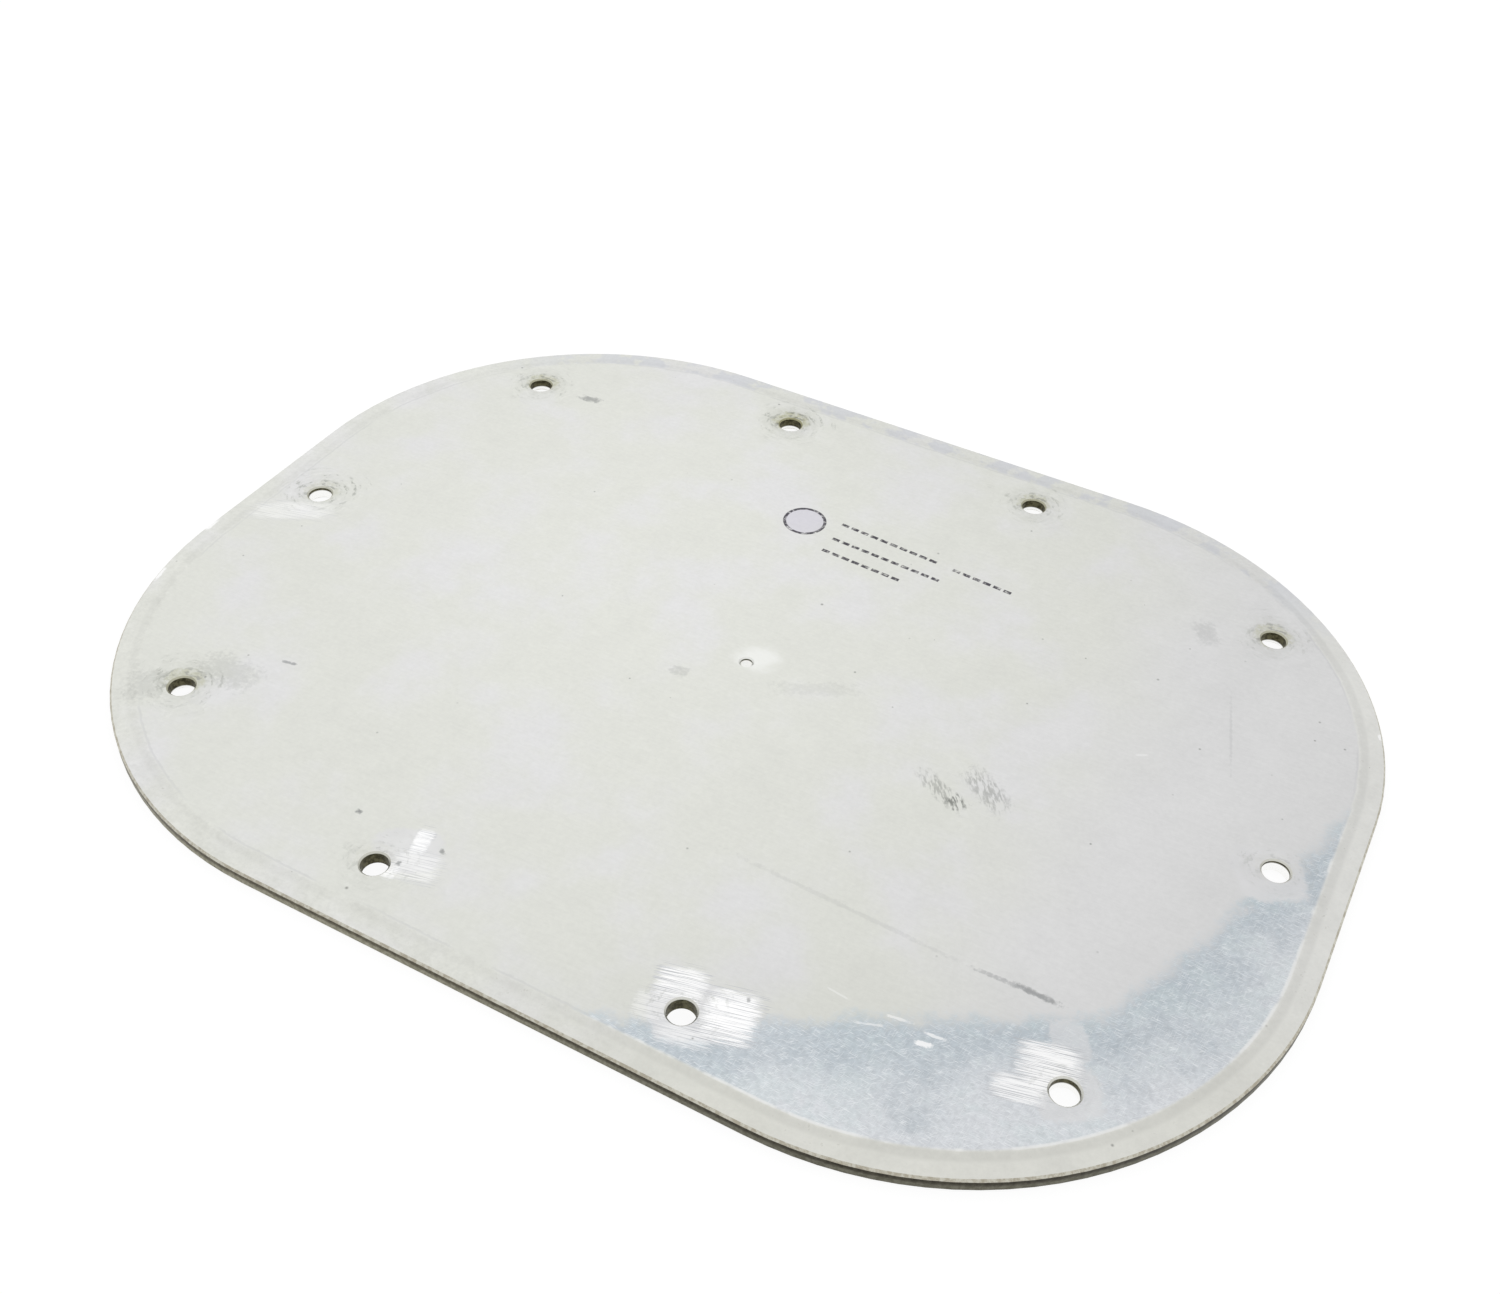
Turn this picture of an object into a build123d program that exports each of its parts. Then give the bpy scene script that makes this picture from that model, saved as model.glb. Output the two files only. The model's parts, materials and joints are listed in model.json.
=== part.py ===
from build123d import *
import os
from math import cos, radians, sin

# A flat cover plate, cut from one piece of aluminium sheet, with large round corners and a ring of
# screw holes. It lies on its outer face, with its inner face up.
# Millimetres: +X along the length, +Y along the width, +Z up out of the inner face.
# The origin is the middle of the outer face.

# Outline and section
PLATE_LENGTH = 254.0
PLATE_WIDTH = 194.0
PLATE_THICKNESS = 3.2
CORNER_RADIUS = 75.0
EDGE_BREAK = 0.4            # sharp edge filed off all round, on both faces

# The rim of the inner face, dressed down at a very shallow angle
RIM_WIDTH = 5.0
RIM_DROP = 0.2              # how far the rim has fallen where it meets the side wall

# Screw holes, all on one line that follows the outline
SCREW_HOLE_DIAMETER = 5.3
HOLE_MARGIN = 14.0          # from the outline in to the hole centres
LONG_SIDE_PITCH = 65.0      # between the two holes of a long side
CORNER_HOLE_ANGLE = 45.0    # round the corner arc, from the length direction
HOLE_DEBURR = 0.35          # chamfer that deburring left on both rims of every hole

# The pilot hole in the middle
PILOT_HOLE_DIAMETER = 2.6

# How far a cutter runs past the faces it cuts
CUT_OVERSHOOT = 1.0


def plate_blank():
    """The sheet cut to its outline, with the rim dressed down and the edges broken."""
    outline = RectangleRounded(PLATE_LENGTH, PLATE_WIDTH, CORNER_RADIUS)
    blank = extrude(outline, PLATE_THICKNESS)
    inner_face = blank.faces().sort_by(Axis.Z)[-1]
    blank = chamfer(inner_face.edges(), RIM_WIDTH, RIM_DROP, reference=inner_face)
    wall_edges = edges_at_height(blank, 0) + edges_at_height(blank, PLATE_THICKNESS - RIM_DROP)
    return chamfer(wall_edges, EDGE_BREAK)


def edges_at_height(solid, height):
    """The edges that lie flat at one height: the plate's outline on that level."""
    tolerance = RIM_DROP / 4
    return solid.edges().filter_by_position(Axis.Z, height - tolerance, height + tolerance)


def deburred_hole(diameter):
    """A cutter for a through hole whose two rims are chamfered."""
    radius = diameter / 2
    wide = radius + HOLE_DEBURR + CUT_OVERSHOOT
    bottom = -CUT_OVERSHOOT
    top = PLATE_THICKNESS + CUT_OVERSHOOT
    section = Polyline(
        (0, 0, bottom),
        (wide, 0, bottom),
        (radius, 0, HOLE_DEBURR),
        (radius, 0, PLATE_THICKNESS - HOLE_DEBURR),
        (wide, 0, top),
        (0, 0, top),
        close=True,
    )
    return revolve(make_face(section), Axis.Z)


def screw_hole_places():
    """The ten screw holes: two on each long side, one in each corner and one at each end."""
    side_y = PLATE_WIDTH / 2 - HOLE_MARGIN
    end_x = PLATE_LENGTH / 2 - HOLE_MARGIN
    arc_radius = CORNER_RADIUS - HOLE_MARGIN
    corner_x = PLATE_LENGTH / 2 - CORNER_RADIUS + arc_radius * cos(radians(CORNER_HOLE_ANGLE))
    corner_y = PLATE_WIDTH / 2 - CORNER_RADIUS + arc_radius * sin(radians(CORNER_HOLE_ANGLE))
    long_sides = GridLocations(LONG_SIDE_PITCH, 2 * side_y, 2, 2)
    corners = GridLocations(2 * corner_x, 2 * corner_y, 2, 2)
    ends = Locations((-end_x, 0), (end_x, 0))
    return [*long_sides, *corners, *ends]


def cover_plate():
    """The finished plate."""
    screw_hole = deburred_hole(SCREW_HOLE_DIAMETER)
    pilot_hole = deburred_hole(PILOT_HOLE_DIAMETER)
    plate = plate_blank()
    plate -= [place * screw_hole for place in screw_hole_places()]
    plate -= pilot_hole
    return plate


os.makedirs("parts", exist_ok=True)
export_step(cover_plate(), "parts/cover_plate.step")
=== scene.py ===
import json
from math import atan2, cos, degrees, dist, radians, sin

import bpy
from mathutils import Matrix, Vector


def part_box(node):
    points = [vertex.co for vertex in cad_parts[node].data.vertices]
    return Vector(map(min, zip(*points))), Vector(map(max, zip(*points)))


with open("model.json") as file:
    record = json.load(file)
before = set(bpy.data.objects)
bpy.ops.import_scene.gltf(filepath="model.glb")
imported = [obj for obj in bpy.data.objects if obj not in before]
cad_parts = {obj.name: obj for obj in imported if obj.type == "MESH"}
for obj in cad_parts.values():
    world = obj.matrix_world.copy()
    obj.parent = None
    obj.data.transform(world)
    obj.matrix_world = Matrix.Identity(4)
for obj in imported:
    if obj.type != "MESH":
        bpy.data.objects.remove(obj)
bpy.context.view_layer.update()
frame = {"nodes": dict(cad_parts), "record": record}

# The looks of a flat aluminium cover plate that lies with its inner face up.
# Objects, lamps and the camera are in metres. Inside the plate's material every length is in
# millimetres, on the plate's own axes: x along its length, y along its width, z up, from the middle
# of its underside. Angles are in degrees, anticlockwise from x.


def rgb(red, green, blue):
    """A colour given as it shows on a screen, 0 to 255, in the linear form that shaders take."""
    def linear(value):
        value /= 255
        return value / 12.92 if value <= 0.04045 else ((value + 0.055) / 1.055) ** 2.4
    return linear(red), linear(green), linear(blue), 1.0


def scratch(start, end, half_width, strength):
    """A straight scratch between two points, as a long thin mark."""
    middle = ((start[0] + end[0]) / 2, (start[1] + end[1]) / 2)
    angle = degrees(atan2(end[1] - start[1], end[0] - start[0]))
    return middle, dist(start, end) / 2, half_width, angle, strength


# ---------------------------------------------------------------- the plate
LOW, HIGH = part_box("cover_plate")
LENGTH, WIDTH, THICKNESS = (1000 * side for side in HIGH - LOW)
MOUNTS = {mount["name"]: mount["dims"] for mount in frame["record"]["mounts"]}
SCREW_HOLE_RADIUS = MOUNTS["end_holes"]["hole_r_mm"]
END_X = MOUNTS["end_holes"]["spacing_x_mm"] / 2
CORNER_X, CORNER_Y = (MOUNTS["corner_holes"][key] / 2 for key in ("spacing_x_mm", "spacing_y_mm"))
SIDE_X, SIDE_Y = (MOUNTS["long_side_holes"][key] / 2 for key in ("spacing_x_mm", "spacing_y_mm"))
# The frame doesn't give these sizes of the plate, so they are written here as well.
CORNER_RADIUS = 75.0
RIM_WIDTH, RIM_DROP = 5.0, 0.2
EDGE_BREAK = 0.4
HOLE_DEBURR = 0.35
PILOT_RADIUS = 1.3

# ---------------------------------------------------------------- camera, lamps and floor, in metres
CAMERA_TARGET = Vector((-0.0016, 0.0045, 0.0032))
CAMERA_AZIMUTH, CAMERA_ELEVATION, CAMERA_ROLL = 26.41, 41.90, 2.99
CAMERA_DISTANCE = 0.3497
CAMERA_LENS = 39.55

SKY_LIGHT, SKY_SEEN = 0.915, 1.06       # the white world as it lights the plate, and behind it
SOFTBOXES = [                           # name, place, size and power
    ("back_softbox", (-0.8, 0.7, 0.85), 1.1, 0.8),
    ("top_softbox", (0.3, -0.2, 1.5), 1.6, 1.2),
]
FLOOR_SIZE, FLOOR_DROP = 12, 0.0002
FLOOR_PAINT = (0.86, 0.86, 0.86, 1)
FLOOR_GLOW, FLOOR_GLOW_SHARE = 1.06, 0.85

# ---------------------------------------------------------------- sizes of what varies over the metal
BROAD_SIZE, CLOUD_SIZE, CRUMB_SIZE = 22, 6, 1.0                 # haze, stains and dirt
GRAIN_WIDTH, GRAIN_STRETCH, GRAIN_ANGLE = 0.45, 10, 2           # lines from the rolling mill
GRAIN_BUMP, GRAIN_DEPTH = 0.2, 0.00001                          # the depth in metres, as bump takes it
STROKE_WIDTH, STROKE_STRETCH, STROKE_ANGLE = 0.14, 70, 14.0     # of the file, beside the holes
HAIR_WIDTH, HAIR_STRETCH = 0.16, 14                             # fine scratches in the polish
HAIRS = [(-4, 0.55), (42, 0.45), (85, 0.30)]                    # their angles, and how clear they are
HATCH_WIDTH, HATCH_STRETCH, HATCH_ANGLE = 0.5, 4, 125           # strokes in the scuffs
ARC_WIDTH = 1.6                                                 # of the turning tool's arcs
SPECK_PITCH = 5.0

# ---------------------------------------------------------------- colours
SHEET = rgb(226, 227, 221), rgb(226, 226, 226)              # with its green cast, and without
DRESSED_RIM = rgb(221, 221, 214), rgb(227, 227, 223)        # at the front side, and elsewhere
# Painted bluish shade on the rim band along the far side.
BLUISH_RIM_SHADE = rgb(207, 209, 214)
SOILED_RIM = rgb(160, 158, 150)
# A painted shade line along the rim's step.
RIM_SHADE_LINE = rgb(185, 186, 188)
# The polished corner's bluish, darker tone is a painted reflection.
POLISH_AND_REFLECTION = rgb(185, 194, 201), rgb(214, 217, 221)             # at its border, and deep inside
POLISH_CAST = rgb(184, 198, 199)
# Fine scratches in the polish, coloured as painted glints.
SCRATCH_GLINT = rgb(240, 243, 245)
# A painted highlight along the rim's step.
PAINTED_STEP_HIGHLIGHT = rgb(240, 240, 238)
DULL_METAL = rgb(210, 210, 211), rgb(230, 230, 231)
FILED_METAL = rgb(186, 188, 192), rgb(255, 255, 255)        # between the file's strokes, and in them
ARC_DARK, ARC_BRIGHT = rgb(160, 163, 156), rgb(238, 238, 236)
DIRT = rgb(168, 170, 156)
OLIVE_DIRT = rgb(190, 190, 158), rgb(108, 107, 84)          # between the tool's arcs, and in them
PILOT_SHINE = rgb(242, 243, 241)
SMUDGE, SCUFF, SPECK = rgb(140, 142, 142), rgb(128, 130, 126), rgb(125, 126, 122)
DARK_SCRATCH, BRIGHT_SCRATCH = rgb(135, 137, 140), rgb(252, 252, 252)
INK, RING_WASH = rgb(52, 46, 62), rgb(178, 170, 205)
BROKEN_EDGE = rgb(178, 172, 156), rgb(208, 206, 194)        # grimy and clean, and so for the walls
UPPER_WALL = rgb(70, 64, 50), rgb(98, 93, 76)
LOWER_WALL = rgb(130, 127, 108), rgb(158, 155, 138)
WALL_CHANGE = 2.1, 1.2                                      # heights where one goes over to the other
HOLE_RIM = rgb(214, 214, 206), rgb(158, 155, 118)           # beside clean metal, and beside dirt
SHADED_BORE = rgb(60, 57, 40), rgb(100, 97, 74)              # painted shade on the bore above its painted reflection, grimy and clean
# A painted reflection of the floor on the lower part of each screw hole's wall.
PAINTED_BORE_REFLECTION = rgb(250, 250, 248)
PAINTED_PILOT_BORE_LIGHT = rgb(245, 245, 242), rgb(95, 93, 82)            # painted reflection of the floor on its lower part, and painted shade at its top
PILOT_CHANGE = 2.4, 2.6                                     # and where these do

# ---------------------------------------------------------------- wear on the inner face
# Each mark is a rectangle with round corners: the (x, y) of its middle, half its length, half its
# width, the angle of its length, and its strength from 0 to 1.
FILED_PATCHES = [
    ((91.2, -62.4), 5.8, 5.4, STROKE_ANGLE, 1.00),
    ((88.3, -68.4), 4.8, 2.8, STROKE_ANGLE, 0.90),
    ((40.2, -80.0), 5.2, 5.8, STROKE_ANGLE, 1.00),
    ((29.8, -78.4), 4.8, 4.2, STROKE_ANGLE, 0.90),
    ((35.0, -87.3), 5.2, 2.2, STROKE_ANGLE, 0.50),
    ((27.6, -84.6), 3.4, 3.4, STROKE_ANGLE, 0.35),
    ((-28.2, -74.4), 1.8, 3.4, STROKE_ANGLE, 0.80),
    ((-25.6, -79.8), 4.8, 3.8, STROKE_ANGLE, 0.45),
    ((-29.0, -82.9), 1.5, 2.1, STROKE_ANGLE, 0.80),
    ((-114.3, -8.2), 9.7, 3.4, 30.0, 0.35),
]
DULL_PATCHES = [
    ((95.8, -65.2), 6.2, 6.0, 30.0, 0.70),
    ((33.0, -82.5), 7.0, 6.6, 30.0, 0.90),
    ((-29.5, -77.6), 7.2, 5.6, 30.0, 0.75),
    ((112.0, -1.7), 7.2, 7.6, 30.0, 0.85),
    ((92.5, -55.5), 3.6, 5.0, 30.0, 0.60),
    ((-89.0, -63.0), 4.4, 4.4, 30.0, 0.35),
    ((-92.8, 60.2), 5.0, 4.0, 30.0, 0.35),
]
SMUDGES = [
    ((-10.8, -9.7), 2.6, 1.8, 20.0, 0.22),
    ((-81.0, 66.3), 3.4, 1.4, 10.0, 0.60),
    ((81.6, 59.6), 4.4, 3.0, -60.0, 0.18),
    ((-43.0, -74.3), 0.8, 0.6, 0.0, 0.80),
    ((-23.6, -74.5), 1.0, 0.6, -30.0, 0.70),
    ((-28.7, -80.7), 0.8, 0.6, 90.0, 0.70),
    ((41.2, -75.2), 0.7, 0.4, -60.0, 0.60),
    ((-101.5, -68.5), 5.0, 5.0, 30.0, 0.16),
    ((-90.0, -57.0), 8.0, 5.0, 0.0, 0.18),
    ((16.3, 0.1), 10.5, 2.4, 29.0, 0.10),
    ((84.0, -49.1), 5.5, 0.8, -3.0, 0.50),
]
SCUFFS = [
    ((50.3, -13.3), 7.5, 2.4, -27.0, 0.42),
    ((53.8, -14.6), 3.0, 2.4, -27.0, 0.85),
    ((58.0, -8.5), 7.5, 3.4, -35.0, 0.42),
]
DARK_SCRATCHES = [
    scratch((20, -47.6), (74, -49.6), 0.60, 0.11),
    scratch((71, -49.4), (89, -49.2), 0.60, 0.38),
    scratch((91.5, 44.5), (98.9, 18.8), 0.35, 0.12),
    scratch((-83, -49.1), (-79, -48.3), 0.45, 0.60),
]
BRIGHT_SCRATCHES = [
    scratch((63.0, -66.2), (68.0, -65.4), 0.35, 0.50),
    scratch((70.0, -66.2), (74.5, -65.8), 0.40, 0.65),
    scratch((69.2, -68.7), (72.8, -68.1), 0.65, 0.85),
    scratch((58.6, -70.4), (64.2, -68.2), 0.30, 0.40),
    scratch((51.0, -66.0), (57.0, -66.6), 0.25, 0.30),
    scratch((80.0, 15.7), (82.6, 17.1), 0.40, 0.30),
    scratch((121.7, 47.7), (122.7, 45.5), 0.50, 0.80),
    scratch((-126.6, -19.0), (-126.2, -24.0), 0.70, 0.80),
    scratch((-124.8, -38.0), (-123.4, -43.0), 0.70, 0.80),
]
# The middle of a painted sheen: the sheet is painted brightest here and darker further off.
PAINTED_SHEEN_CENTRE = (-5, 35, 0)
PILOT_SHINE_CENTRE = (1.8, 2.0, 0)
# The polished corner is to the right of either of these lines, given by a point and an angle.
POLISH_BORDERS = [((50, -75), 29.5), ((104.5, -27), 69)]

# How the screw holes were cleaned up, and how their bores are painted with light. Each row is for a sector
# round the plate's middle that holds one screw hole, anticlockwise. The hole at the -x end has the first
# row and the last. A row has the sector's first angle, then how dirty the metal behind the hole is, how
# marked by a turning tool, and how much of the hole's wall, from the bottom up, is bright with a painted
# reflection of the floor; above that the wall is painted shade.
HOLE_WEAR_AND_REFLECTION = [
    (-180.0, 0.30, 1.0, 0.75),
    (-163.0, 0.60, 0.8, 0.30),
    (-128.5, 0.15, 0.5, 0.00),
    (-90.0, 0.05, 0.4, 0.00),
    (-51.5, 0.05, 0.3, 0.60),
    (-17.0, 0.10, 0.4, 0.80),
    (17.0, 0.60, 0.6, 0.30),
    (51.5, 0.70, 0.7, 0.35),
    (90.0, 1.00, 0.8, 0.35),
    (128.5, 0.70, 0.8, 0.40),
    (163.0, 0.30, 1.0, 0.75),
]
BEHIND = Vector((-0.42, 0.91, 0))       # unit step from a hole towards its dirty side
DIRT_SHIFT = 1.2                        # how far behind the hole the dirt has its middle

# The inspector's ink: a plain ring, and rows of short dashes with their starts, counts and angles.
RING_CENTRE, RING_RADIUS, RING_LINE = (-11.5, 49.6, 0), 4.7, 0.6
DASH_ROWS = [
    ((-3.8, 53.0), 10, -3.8),
    ((25.0, 50.9), 6, -3.8),
    ((-3.4, 47.1), 11, -3.0),
    ((-3.6, 42.2), 8, -3.0),
]
DASH_PITCH, DASH_LENGTH, DASH_WEIGHT = 2.54, 1.7, 0.8
INK_BLUR = 0.12


# ---------------------------------------------------------------- numbers over a surface
class Field:
    """A number at every point of a surface: one output of a material's nodes, with sums written as sums."""

    def __init__(self, socket):
        self.socket = socket

    def __add__(self, other):
        return calculate("ADD", self, other)

    def __sub__(self, other):
        return calculate("SUBTRACT", self, other)

    def __rsub__(self, other):
        return calculate("SUBTRACT", other, self)

    def __mul__(self, other):
        return calculate("MULTIPLY", self, other)

    def __truediv__(self, other):
        return calculate("DIVIDE", self, other)

    def __abs__(self):
        return calculate("ABSOLUTE", self)

    __radd__ = __add__


def plug(socket, value):
    """Feeds a node's input from a field, a socket or a plain value."""
    if isinstance(value, Field):
        value = value.socket
    if isinstance(value, bpy.types.NodeSocket):
        socket.id_data.links.new(value, socket)
    else:
        socket.default_value = value


def new_node(kind, *values):
    """A node in the tree of the first of these values that is a field or a socket."""
    for value in values:
        socket = value.socket if isinstance(value, Field) else value
        if isinstance(socket, bpy.types.NodeSocket):
            return socket.id_data.nodes.new(kind)
    raise ValueError("no field among the values")


def calculate(operation, *values):
    """A sum on numbers."""
    node = new_node("ShaderNodeMath", *values)
    node.operation = operation
    for socket, value in zip(node.inputs, values):
        plug(socket, value)
    return Field(node.outputs[0])


def greater(a, b):
    return calculate("MAXIMUM", a, b)


def lesser(a, b):
    return calculate("MINIMUM", a, b)


def steps(operation, *values):
    """A sum on vectors."""
    node = new_node("ShaderNodeVectorMath", *values)
    node.operation = operation
    for socket, value in zip(node.inputs, values):
        plug(socket, value)
    if operation in ("LENGTH", "DISTANCE", "DOT_PRODUCT"):
        return Field(node.outputs["Value"])
    return node.outputs["Vector"]


def vector(x, y, z=0.0):
    """A vector from three numbers."""
    node = new_node("ShaderNodeCombineXYZ", x, y, z)
    for socket, value in zip(node.inputs, (x, y, z)):
        plug(socket, value)
    return node.outputs[0]


def parts(socket, kind="ShaderNodeSeparateXYZ"):
    """The three numbers of a vector, or of a colour."""
    node = new_node(kind, socket)
    plug(node.inputs[0], socket)
    return [Field(output) for output in node.outputs]


def seen_from(point, centre, angle, scale):
    """A point on axes that start at a centre, are turned by an angle and have these unit lengths."""
    node = new_node("ShaderNodeMapping", point)
    node.vector_type = "TEXTURE"
    for socket, value in zip(node.inputs, (point, centre, (0, 0, radians(angle)), scale)):
        plug(socket, value)
    return node.outputs[0]


def ramp(field, start, end, low=0.0, high=1.0):
    """A smooth change from low to high as the field goes from start to end."""
    node = new_node("ShaderNodeMapRange", field)
    node.interpolation_type = "SMOOTHSTEP"
    for socket, value in zip(node.inputs, (field, start, end, low, high)):
        plug(socket, value)
    return Field(node.outputs[0])


def band(field, middle, half_width, soft):
    """1 within half_width of the middle, falling to 0 over soft."""
    return ramp(abs(field - middle), half_width + soft, half_width)


def wall_at(distance, radius):
    """1 on a hole's wall and inside it, 0 on the faces round it."""
    return ramp(distance, radius + 0.04, radius + 0.02)


def clouds(point, size, detail=2.0, roughness=0.5, seed=0, stretch=1.0, angle=0.0):
    """Smooth random numbers about 0.5, in spots of that size that are longer along the angle by stretch."""
    place = seen_from(point, (seed * 31.7, seed * 17.3, 0), angle, (size * stretch, size, size))
    node = new_node("ShaderNodeTexNoise", place)
    for name, value in (("Vector", place), ("Scale", 1.0), ("Detail", detail), ("Roughness", roughness)):
        plug(node.inputs[name], value)
    return Field(node.outputs[0])


def tint(amount, under, over):
    """The colour under, going over to the colour over by the amount."""
    node = new_node("ShaderNodeMix", amount)
    node.data_type = "RGBA"
    for socket, value in zip((node.inputs[0], node.inputs[6], node.inputs[7]), (amount, under, over)):
        plug(socket, value)
    return node.outputs[2]


# ---------------------------------------------------------------- where things are on the plate
class Place:
    """Where a point of the surface is on the plate, and the clouds that its kinds of wear share."""

    def __init__(self, tree):
        coordinates = tree.nodes.new("ShaderNodeTexCoord")
        self.point = steps("MULTIPLY", coordinates.outputs["Object"], (1000, 1000, 1000))
        self.x, self.y, self.z = parts(self.point)
        self.flat = steps("MULTIPLY", self.point, (1, 1, 0))
        self.inset = self.inset_from_outline()
        self.hole_step = self.step_from_hole()
        self.hole_distance = steps("LENGTH", self.hole_step)
        self.broad = clouds(self.point, BROAD_SIZE, seed=1)
        self.cloud = clouds(self.point, CLOUD_SIZE, detail=3, roughness=0.6, seed=2)
        self.crumb = clouds(self.point, CRUMB_SIZE, detail=3, roughness=0.7, seed=3)
        self.grain = clouds(
            self.point, GRAIN_WIDTH, detail=1, seed=7, stretch=GRAIN_STRETCH, angle=GRAIN_ANGLE
        )

    def inset_from_outline(self):
        """How far inside the outline a point is. It stops at CORNER_RADIUS, well inside the plate."""
        straight = (LENGTH / 2 - CORNER_RADIUS, WIDTH / 2 - CORNER_RADIUS, 0)
        beyond = steps("SUBTRACT", steps("ABSOLUTE", self.flat), straight)
        return CORNER_RADIUS - steps("LENGTH", steps("MAXIMUM", beyond, (0, 0, 0)))

    def step_from_hole(self):
        """The step from the nearest screw hole's centre, found with the plate folded onto one quarter."""
        by_side = calculate("LESS_THAN", abs(self.x), (SIDE_X + CORNER_X) / 2)
        by_end = calculate("LESS_THAN", abs(self.y), CORNER_Y / 2)
        to_side = vector(by_side * (SIDE_X - CORNER_X), by_side * (SIDE_Y - CORNER_Y))
        side_or_corner = steps("ADD", (CORNER_X, CORNER_Y, 0), to_side)
        centre = tint(by_end, side_or_corner, (END_X, 0, 0, 0))
        return steps("SUBTRACT", self.flat, steps("MULTIPLY", centre, steps("SIGN", self.flat)))

    def past_line(self, start, angle):
        """How far a point is to the right of the line that leaves the start at that angle."""
        right = Vector((sin(radians(angle)), -cos(radians(angle)), 0))
        return steps("DOT_PRODUCT", self.flat, right) - right.dot((*start, 0))

    def marks(self, table, blur, ragged):
        """The strongest of a table of marks, each full up to 1 - blur of the way out, and ragged there."""
        strongest = 0
        for (x, y), half_length, half_width, angle, strength in table:
            step = seen_from(self.flat, (x, y, 0), angle, (half_length, half_width, 1))
            reach = steps("LENGTH", steps("MULTIPLY", step, step))
            strongest = greater(strongest, ramp(reach + ragged, 1.0, 1.0 - blur, high=strength))
        return strongest


# ---------------------------------------------------------------- the plate's looks
class Looks:
    """The colour and roughness of a surface, built up one trace of wear after another."""

    def __init__(self, at, colour, roughness):
        self.at, self.colour, self.roughness = at, colour, roughness

    def cover(self, amount, colour, roughness=None):
        """Another colour, and another roughness if one is given, by an amount from 0 to 1."""
        self.colour = tint(amount, self.colour, colour)
        if roughness is not None:
            self.roughness = self.roughness + (roughness - self.roughness) * amount

    def dim(self, amount):
        """Darkens by a factor of 1 less the amount."""
        node = new_node("ShaderNodeVectorMath", amount)
        node.operation = "SCALE"
        plug(node.inputs[0], self.colour)
        plug(node.inputs["Scale"], 1 - amount)
        self.colour = node.outputs[0]


def bare_sheet(at):
    """Mill finish after years of handling, with a green cast in clouds, and a painted sheen: brightest near
    one point, darker further off.
    """
    neutral = greater(ramp(at.broad + at.cloud * 0.35, 0.60, 0.90), ramp(at.x + at.broad * 40, 70, 110))
    looks = Looks(at, tint(neutral, *SHEET), 0.44 + at.cloud * 0.06)
    # Painted sheen: darker with distance from its brightest point.
    looks.dim(ramp(steps("DISTANCE", at.flat, PAINTED_SHEEN_CENTRE), 20, 130, high=0.05))
    stains = (0.5 - at.broad) * 0.06 + (0.5 - at.cloud) * 0.10
    looks.dim(stains + (0.5 - at.crumb) * 0.13 + (0.5 - at.grain) * 0.05)
    return looks


def add_rim(looks):
    """The dressed band along the outline: duller, with painted shade at its inner side, a painted bluish
    shade along the far side, and a painted shade line inside the step.
    """
    at = looks.at
    inside = at.inset + (at.cloud - 0.5) * 1.0 + (at.crumb - 0.5) * 0.5
    belt = ramp(inside, RIM_WIDTH + 0.7, RIM_WIDTH + 0.1)
    near_end = ramp(at.x - at.y * 0.4, 30, 90)
    far_side = ramp(at.y - abs(at.x) * 0.2, 35, 75)
    looks.cover(belt * (0.15 + near_end * 0.7), tint(ramp(at.y, -60, -10), *DRESSED_RIM), 0.5)
    # Painted bluish shade along the far side of the rim.
    looks.cover(belt * far_side * ramp(at.cloud, 0.42, 0.56) * 0.7, BLUISH_RIM_SHADE)
    looks.dim(belt * ((0.5 - at.cloud) * 0.16 + (0.5 - at.crumb) * 0.14))
    # Painted shade along the inner side of the rim, by its step.
    looks.dim(band(inside, RIM_WIDTH - 0.8, 0.4, 0.9) * (0.04 + near_end * 0.04))
    soiled = band(inside, RIM_WIDTH - 1.5, 1.0, 1.5)
    soiled = soiled * ramp(at.crumb, 0.60, 0.72) * ramp(at.broad, 0.45, 0.55)
    looks.cover(soiled * 0.30, SOILED_RIM)
    # Painted shade line just inside the rim's step.
    line = band(inside, RIM_WIDTH + 0.6, 0.10, 0.25) * ramp(at.broad, 0.40, 0.52)
    looks.cover(line * 0.22, RIM_SHADE_LINE)


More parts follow.
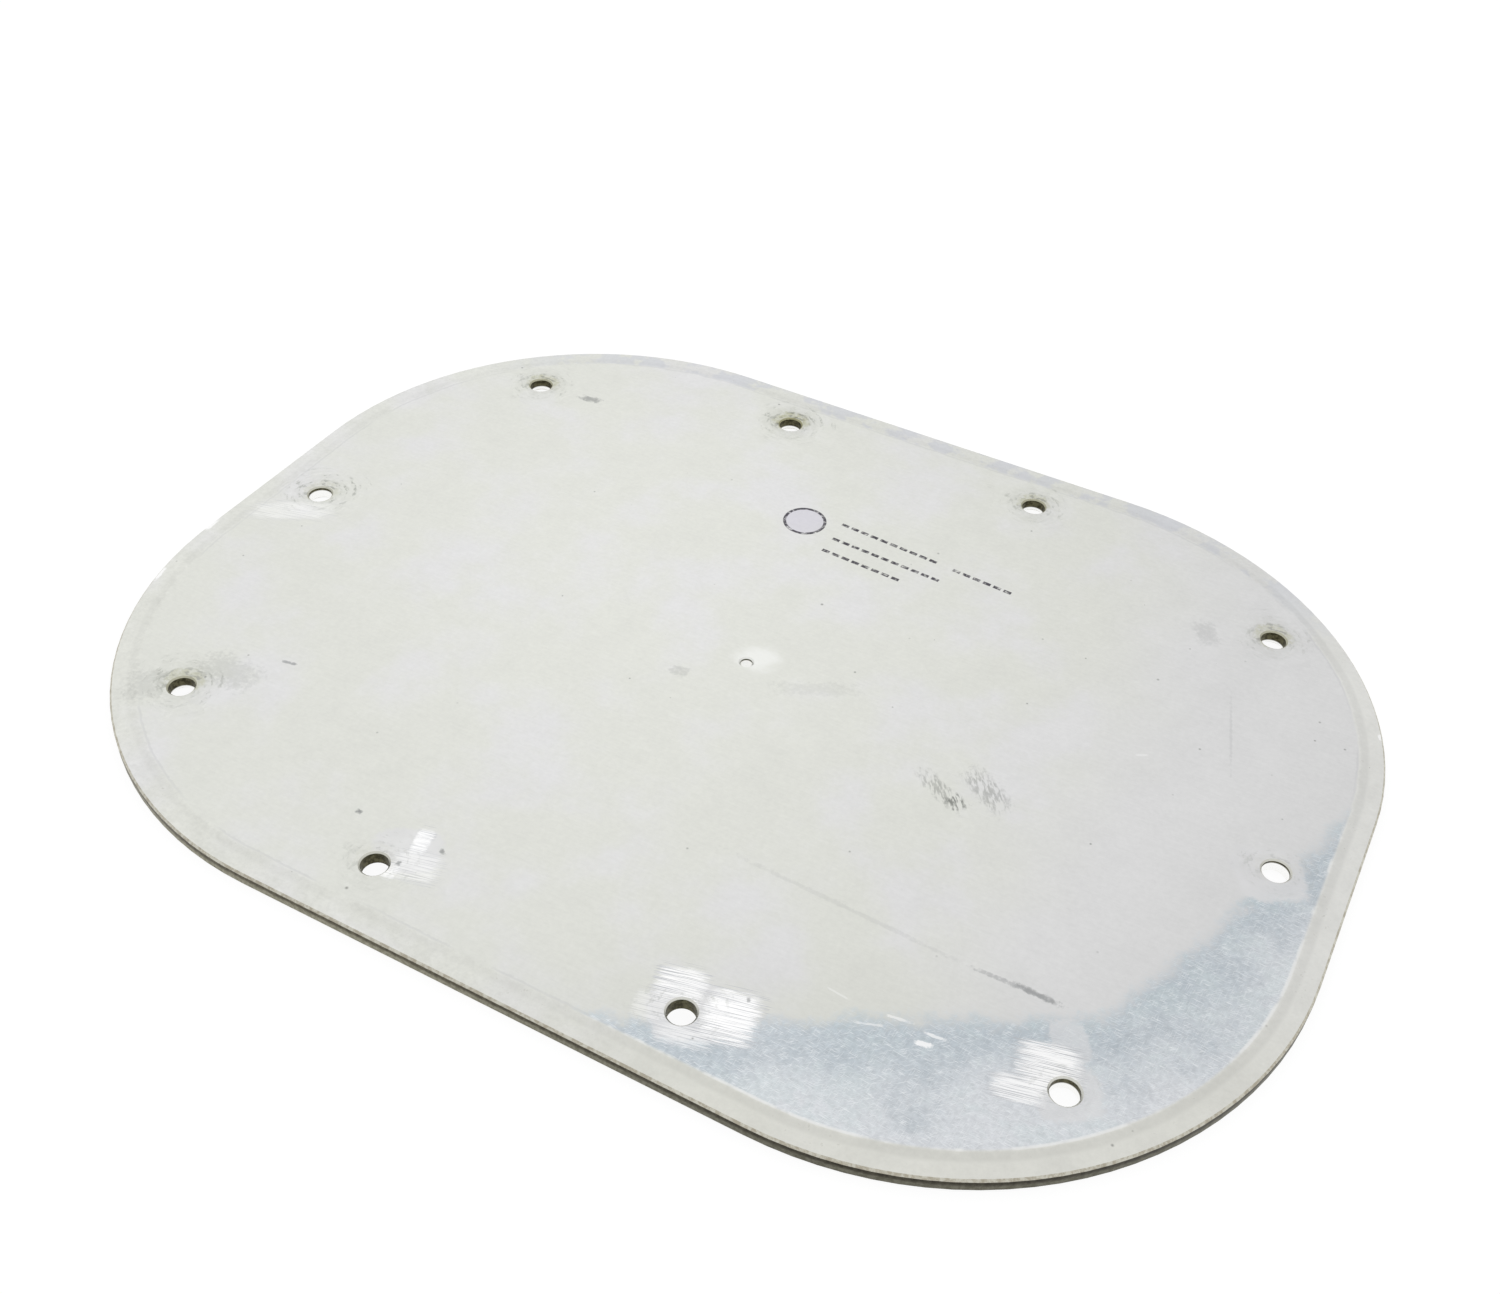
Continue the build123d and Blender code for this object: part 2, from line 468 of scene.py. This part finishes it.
def add_polish(looks):
    """One corner has lost its haze: it is glossier and full of fine scratches. Its bluish, darker tone is a
    painted reflection, its scratches are painted as bright glints, and a painted highlight runs along the
    rim's step.
    """
    at = looks.at
    past_borders = greater(*(at.past_line(start, angle) for start, angle in POLISH_BORDERS))
    inner = past_borders + (at.cloud - 0.5) * 8
    zone = ramp(inner + (at.crumb - 0.5) * 5, -2.5, 2.5)
    zone = lesser(zone, ramp(at.inset, RIM_WIDTH, RIM_WIDTH + 0.8))
    depth = ramp(inner + (at.broad - 0.5) * 34 + (at.cloud - 0.5) * 16, 0, 22)
    looks.dim(ramp(inner, -22, 0, high=0.03))
    # Painted reflection: the polished corner's bluish tone, darkest at its border.
    looks.cover(zone * 0.95, tint(depth, *POLISH_AND_REFLECTION), 0.30)
    looks.cover(zone * ramp(at.cloud, 0.48, 0.66) * 0.30, POLISH_CAST)
    looks.dim(((0.5 - at.crumb) * 0.45 + (0.5 - at.cloud) * 0.22) * zone)
    for seed, (angle, strength) in enumerate(HAIRS, 21):
        hairs = clouds(at.point, HAIR_WIDTH, detail=1, seed=seed, stretch=HAIR_STRETCH, angle=angle)
        # Real fine scratches, drawn as painted glints.
        looks.cover(ramp(hairs, 0.58, 0.70) * zone * strength, SCRATCH_GLINT)
    # Painted highlight: a bright line just inside the rim's step, in the polished corner.
    step_highlight = band(at.inset, RIM_WIDTH + 0.4, 0.1, 0.35) * ramp(inner, -1, 3) * ramp(at.cloud, 0.45, 0.60)
    looks.cover(step_highlight * 0.6, PAINTED_STEP_HIGHLIGHT)


def add_filing(looks):
    """Patches beside some screw holes: dull where the haze was rubbed off, bright where a file went."""
    at = looks.at
    strokes = clouds(
        at.point, STROKE_WIDTH, detail=1, seed=4, stretch=STROKE_STRETCH, angle=STROKE_ANGLE
    )
    ragged = (at.cloud - 0.5) * 1.0
    dull = at.marks(DULL_PATCHES, 0.4, ragged + (at.crumb - 0.5) * 0.6)
    looks.cover(dull, tint(at.cloud, *DULL_METAL), 0.40)
    filed = at.marks(FILED_PATCHES, 0.3, ragged * 0.8 + (strokes - 0.5) * 3.0)
    looks.cover(filed, tint(ramp(strokes, 0.34, 0.50), *FILED_METAL), 0.28)


def hole_wear_and_reflection(at):
    """The row of the holes' wear and painted bore reflection for the sector that a point is in: a ramp with
    one step a sector gives it.
    """
    turn = calculate("ARCTAN2", at.y, at.x) / radians(360) + 0.5
    node = new_node("ShaderNodeValToRGB", turn)
    node.color_ramp.interpolation = "CONSTANT"
    elements = node.color_ramp.elements
    elements.remove(elements[1])
    for number, (first_angle, *wear) in enumerate(HOLE_WEAR_AND_REFLECTION):
        element = elements.new(first_angle / 360 + 0.5) if number else elements[0]
        element.color = (*wear, 1)
    plug(node.inputs[0], turn)
    return parts(node.outputs[0], "ShaderNodeSeparateColor")


def add_deburring(looks, dirt, swirl):
    """The turning tool's arcs round each screw hole, and the dirt behind it."""
    at = looks.at
    x, y, _ = parts(at.hole_step)
    around = vector(at.hole_distance + at.crumb * ARC_WIDTH, calculate("ARCTAN2", y, x) * ARC_WIDTH)
    arcs = clouds(around, 1.0, detail=2, roughness=0.6, seed=5)
    touched = ramp(at.hole_distance - swirl * 3 + (at.cloud - 0.5) * 14, 9.0, 3.0)
    touched = touched * ramp(at.crumb, 0.38, 0.60) * swirl
    behind = ramp(steps("DOT_PRODUCT", at.hole_step, BEHIND), -9.0, 3.0, low=0.3)
    looks.cover(touched * behind * ramp(arcs, 0.52, 0.64) * 0.80, ARC_DARK)
    looks.cover(touched * ramp(arcs, 0.46, 0.36) * 0.25, ARC_BRIGHT)

    from_dirt = steps("DISTANCE", at.hole_step, BEHIND * DIRT_SHIFT)
    from_dirt = from_dirt + (at.crumb - 0.5) * 3 + (at.cloud - 0.5) * 5
    looks.cover(ramp(from_dirt, 8.5, 3.0) * dirt * 0.25, DIRT, 0.55)
    caked = ramp(from_dirt, 4.6, 3.0) * dirt * ramp(at.crumb, 0.65, 0.40, low=0.4)
    looks.cover(caked * 0.70, tint(ramp(arcs, 0.48, 0.62), *OLIVE_DIRT), 0.6)


def add_marks(looks):
    """The bright metal beside the pilot hole, then smudges, scuffs, scratches and specks."""
    at = looks.at
    from_shine = steps("DISTANCE", at.flat, PILOT_SHINE_CENTRE)
    from_shine = from_shine + (at.cloud - 0.5) * 8 + (at.crumb - 0.5) * 2
    looks.cover(ramp(from_shine, 5.6, 2.4, high=0.6), PILOT_SHINE, 0.34)

    broken = (at.crumb - 0.5) * 2.4
    looks.cover(at.marks(SMUDGES, 1.0, broken), SMUDGE, 0.55)
    hatching = clouds(at.point, HATCH_WIDTH, detail=2, seed=8, stretch=HATCH_STRETCH, angle=HATCH_ANGLE)
    scuffs = at.marks(SCUFFS, 1.0, (at.crumb - 0.5) * 1.5) * ramp(hatching, 0.42, 0.58)
    looks.cover(scuffs, SCUFF, 0.55)
    looks.cover(at.marks(DARK_SCRATCHES, 0.9, broken), DARK_SCRATCH)
    looks.cover(at.marks(BRIGHT_SCRATCHES, 0.7, broken), BRIGHT_SCRATCH)

    node = new_node("ShaderNodeTexVoronoi", at.point)
    plug(node.inputs["Vector"], at.point)
    plug(node.inputs["Scale"], 1 / SPECK_PITCH)
    chance, size, _ = parts(node.outputs["Color"], "ShaderNodeSeparateColor")
    from_speck = Field(node.outputs["Distance"]) * SPECK_PITCH
    specks = ramp(from_speck, size * 0.5, 0.0) * ramp(chance, 0.50, 0.45)
    looks.cover(specks * 0.8, SPECK)


def add_ink(looks):
    """A plain ring and rows of short dashes, the ink unevenly taken up by the metal."""
    at = looks.at
    from_ring = steps("DISTANCE", at.flat, RING_CENTRE)
    looks.cover(ramp(from_ring, RING_RADIUS, RING_RADIUS - 0.4, high=0.22), RING_WASH)
    ink = band(from_ring, RING_RADIUS, RING_LINE / 2, INK_BLUR)
    for (x, y), count, angle in DASH_ROWS:
        along, across, _ = parts(seen_from(at.flat, (x, y, 0), angle, (1, 1, 1)))
        half_row = count * DASH_PITCH / 2
        in_row = calculate("LESS_THAN", abs(along - half_row), half_row)
        step = calculate("FLOORED_MODULO", along, DASH_PITCH)
        dash = band(step, DASH_PITCH / 2, DASH_LENGTH / 2, INK_BLUR)
        dash = dash * band(across, 0, DASH_WEIGHT / 2, INK_BLUR)
        ink = greater(ink, dash * in_row)
    looks.cover(ink * ramp(at.crumb, 0.30, 0.55, low=0.1, high=0.9), INK, 0.6)


def add_side_wall(looks, clean):
    """The sawn and filed side of the plate, and the thin filed-off corner above it. The side is darkened
    towards +x by painted shade.
    """
    at = looks.at
    rim_level = THICKNESS - RIM_DROP
    corner = ramp(at.z, rim_level + 0.025, rim_level - 0.005)
    corner = corner * ramp(at.inset, EDGE_BREAK + 0.06, EDGE_BREAK)
    looks.cover(corner, tint(clean, *BROKEN_EDGE), 0.42)

    wall_top = rim_level - EDGE_BREAK
    side = ramp(at.z, wall_top + 0.01, wall_top - 0.01) * ramp(at.inset, EDGE_BREAK + 0.4, EDGE_BREAK + 0.3)
    upper, lower = tint(clean, *UPPER_WALL), tint(clean, *LOWER_WALL)
    wall = Looks(at, tint(ramp(at.z, *WALL_CHANGE), upper, lower), 0.5)
    file_lines = clouds(vector(at.x - at.y, at.z * 30), 5.0, detail=1, seed=6)
    wall.dim(0.3 - file_lines * 0.6)
    # Painted shade: the side wall darker towards +x.
    wall.dim(ramp(at.x, -30, 70, high=0.5))
    looks.cover(side, wall.colour, wall.roughness)


def add_hole_walls(looks, clean, dirt, painted_reflection_share):
    """The chamfers and walls of the screw holes, with a painted reflection of the floor up to a height and
    painted shade above it, and the pilot hole's wall.
    """
    at = looks.at
    rim = SCREW_HOLE_RADIUS + HOLE_DEBURR
    looks.cover(ramp(at.hole_distance, rim + 0.03, rim, high=0.8), tint(dirt, *HOLE_RIM))
    # Up to this height the wall carries a painted reflection of the floor, and above it painted shade.
    painted_reflection_top = painted_reflection_share * THICKNESS
    bright = ramp(at.z, painted_reflection_top + 0.05, painted_reflection_top - 0.30) * ramp(painted_reflection_share, 0.02, 0.1)
    bore = tint(bright, tint(clean, *SHADED_BORE), PAINTED_BORE_REFLECTION)
    looks.cover(wall_at(at.hole_distance, SCREW_HOLE_RADIUS), bore, 0.5 - bright * 0.4)
    pilot_wall = wall_at(steps("LENGTH", at.flat), PILOT_RADIUS)
    # The pilot hole's wall: a painted reflection of the floor below, painted shade at its top.
    looks.cover(pilot_wall, tint(ramp(at.z, *PILOT_CHANGE), *PAINTED_PILOT_BORE_LIGHT), 0.1)


def plate_material():
    """Worn aluminium sheet. The wear is on the inner face, and the outer face is bare sheet."""
    material = bpy.data.materials.new("aluminium_sheet")
    material.use_nodes = True
    tree = material.node_tree
    tree.nodes.clear()
    at = Place(tree)
    looks = bare_sheet(at)
    outer_face = looks.colour
    dirt, swirl, painted_reflection_share = hole_wear_and_reflection(at)
    add_rim(looks)
    add_polish(looks)
    add_filing(looks)
    add_deburring(looks, dirt, swirl)
    add_marks(looks)
    add_ink(looks)
    looks.cover(ramp(at.z, THICKNESS / 2, THICKNESS / 4), outer_face, 0.47)
    clean = ramp(at.crumb, 0.38, 0.62)
    add_side_wall(looks, clean)
    add_hole_walls(looks, clean, dirt, painted_reflection_share)

    shader = tree.nodes.new("ShaderNodeBsdfPrincipled")
    bump = tree.nodes.new("ShaderNodeBump")
    output = tree.nodes.new("ShaderNodeOutputMaterial")
    shader.inputs["Metallic"].default_value = 1.0
    plug(shader.inputs["Base Color"], looks.colour)
    plug(shader.inputs["Roughness"], looks.roughness)
    bump.inputs["Strength"].default_value = GRAIN_BUMP
    bump.inputs["Distance"].default_value = GRAIN_DEPTH
    plug(bump.inputs["Height"], at.grain)
    plug(shader.inputs["Normal"], bump.outputs[0])
    plug(output.inputs["Surface"], shader.outputs[0])
    return material


# ---------------------------------------------------------------- floor, light and camera
def floor_material():
    """A pale floor that shows as plain white, and keeps a little of the plate's shadow."""
    material = bpy.data.materials.new("pale_floor")
    material.use_nodes = True
    nodes = material.node_tree.nodes
    nodes.clear()
    path = nodes.new("ShaderNodeLightPath")
    seen = greater(Field(path.outputs["Is Camera Ray"]), Field(path.outputs["Is Glossy Ray"]))
    seen = greater(seen, Field(path.outputs["Is Transmission Ray"]))
    paint = nodes.new("ShaderNodeBsdfDiffuse")
    paint.inputs["Color"].default_value = FLOOR_PAINT
    glow = nodes.new("ShaderNodeEmission")
    glow.inputs["Strength"].default_value = FLOOR_GLOW
    mix = nodes.new("ShaderNodeMixShader")
    output = nodes.new("ShaderNodeOutputMaterial")
    plug(mix.inputs[0], seen * FLOOR_GLOW_SHARE)
    plug(mix.inputs[1], paint.outputs[0])
    plug(mix.inputs[2], glow.outputs[0])
    plug(output.inputs["Surface"], mix.outputs[0])
    return material


def add_floor():
    bpy.ops.mesh.primitive_plane_add(size=FLOOR_SIZE, location=(0, 0, LOW.z - FLOOR_DROP))
    floor = bpy.context.object
    floor.name = "floor"
    floor.data.materials.append(floor_material())


def add_sky():
    """A white world, a little brighter to the camera so that it shows as plain white."""
    world = bpy.data.worlds.new("studio")
    bpy.context.scene.world = world
    world.use_nodes = True
    nodes = world.node_tree.nodes
    nodes["Background"].inputs["Color"].default_value = (1, 1, 1, 1)
    path = nodes.new("ShaderNodeLightPath")
    strength = Field(path.outputs["Is Camera Ray"]) * (SKY_SEEN - SKY_LIGHT) + SKY_LIGHT
    plug(nodes["Background"].inputs["Strength"], strength)


def add_softboxes():
    """Square lamps that face the plate."""
    for name, place, size, power in SOFTBOXES:
        lamp = bpy.data.lights.new(name, "AREA")
        lamp.shape = "SQUARE"
        lamp.size = size
        lamp.energy = power
        softbox = bpy.data.objects.new(name, lamp)
        bpy.context.collection.objects.link(softbox)
        softbox.location = place
        softbox.rotation_euler = (Vector(place) * -1).to_track_quat("-Z", "Y").to_euler()


def add_camera():
    azimuth, elevation, roll = (radians(angle) for angle in (CAMERA_AZIMUTH, CAMERA_ELEVATION, CAMERA_ROLL))
    back = Vector((sin(azimuth) * cos(elevation), -cos(azimuth) * cos(elevation), sin(elevation)))
    level = Vector((cos(azimuth), sin(azimuth), 0))
    upright = back.cross(level)
    right = level * cos(roll) + upright * sin(roll)
    up = upright * cos(roll) - level * sin(roll)
    lens = bpy.data.cameras.new("camera")
    lens.lens = CAMERA_LENS
    camera = bpy.data.objects.new("camera", lens)
    bpy.context.collection.objects.link(camera)
    turn = Matrix((right, up, back)).transposed().to_4x4()
    camera.matrix_world = Matrix.Translation(CAMERA_TARGET + back * CAMERA_DISTANCE) @ turn
    bpy.context.scene.camera = camera


plate = frame["nodes"]["cover_plate"]
plate.data.materials.clear()
plate.data.materials.append(plate_material())
add_floor()
add_sky()
add_softboxes()
add_camera()
bpy.context.scene.view_settings.view_transform = "Standard"
